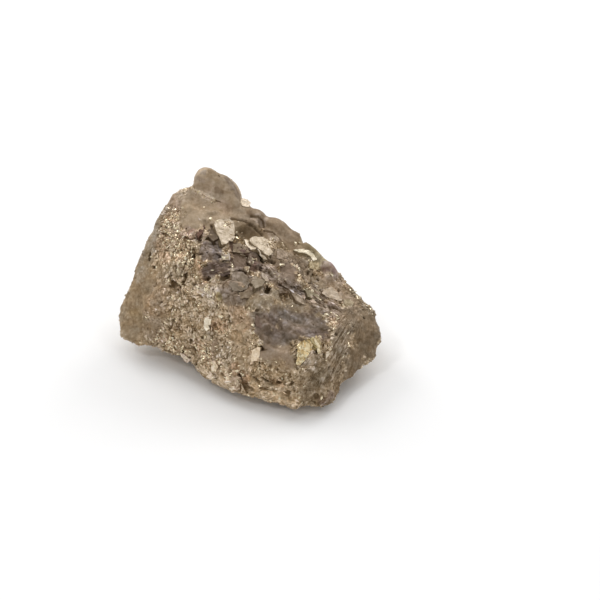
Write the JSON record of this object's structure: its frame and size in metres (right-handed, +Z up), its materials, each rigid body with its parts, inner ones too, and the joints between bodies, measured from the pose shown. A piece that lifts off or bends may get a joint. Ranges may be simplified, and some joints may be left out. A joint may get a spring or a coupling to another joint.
{
  "type": "pyrite specimen",
  "caption": "Lump of massive granular pyrite with a knob, flat crystal faces, ledges and pits, resting on a small flat foot.",
  "frame": {"origin": "middle of the bottom of the lump's box, on the surface that it rests on", "axes": "+X along the longest side, from the broad left toe to the right end; +Y away from the front fracture face; +Z up"},
  "size_m": [0.0422, 0.0354, 0.0273],
  "materials": {
    "pyrite": "metallic brass-brown sulphide ore, granular and dull in the mass, bright on fresh crystal faces"
  },
  "bodies": {
    "root": {"pyrite_chunk": "pyrite"}
  },
  "joints": []
}
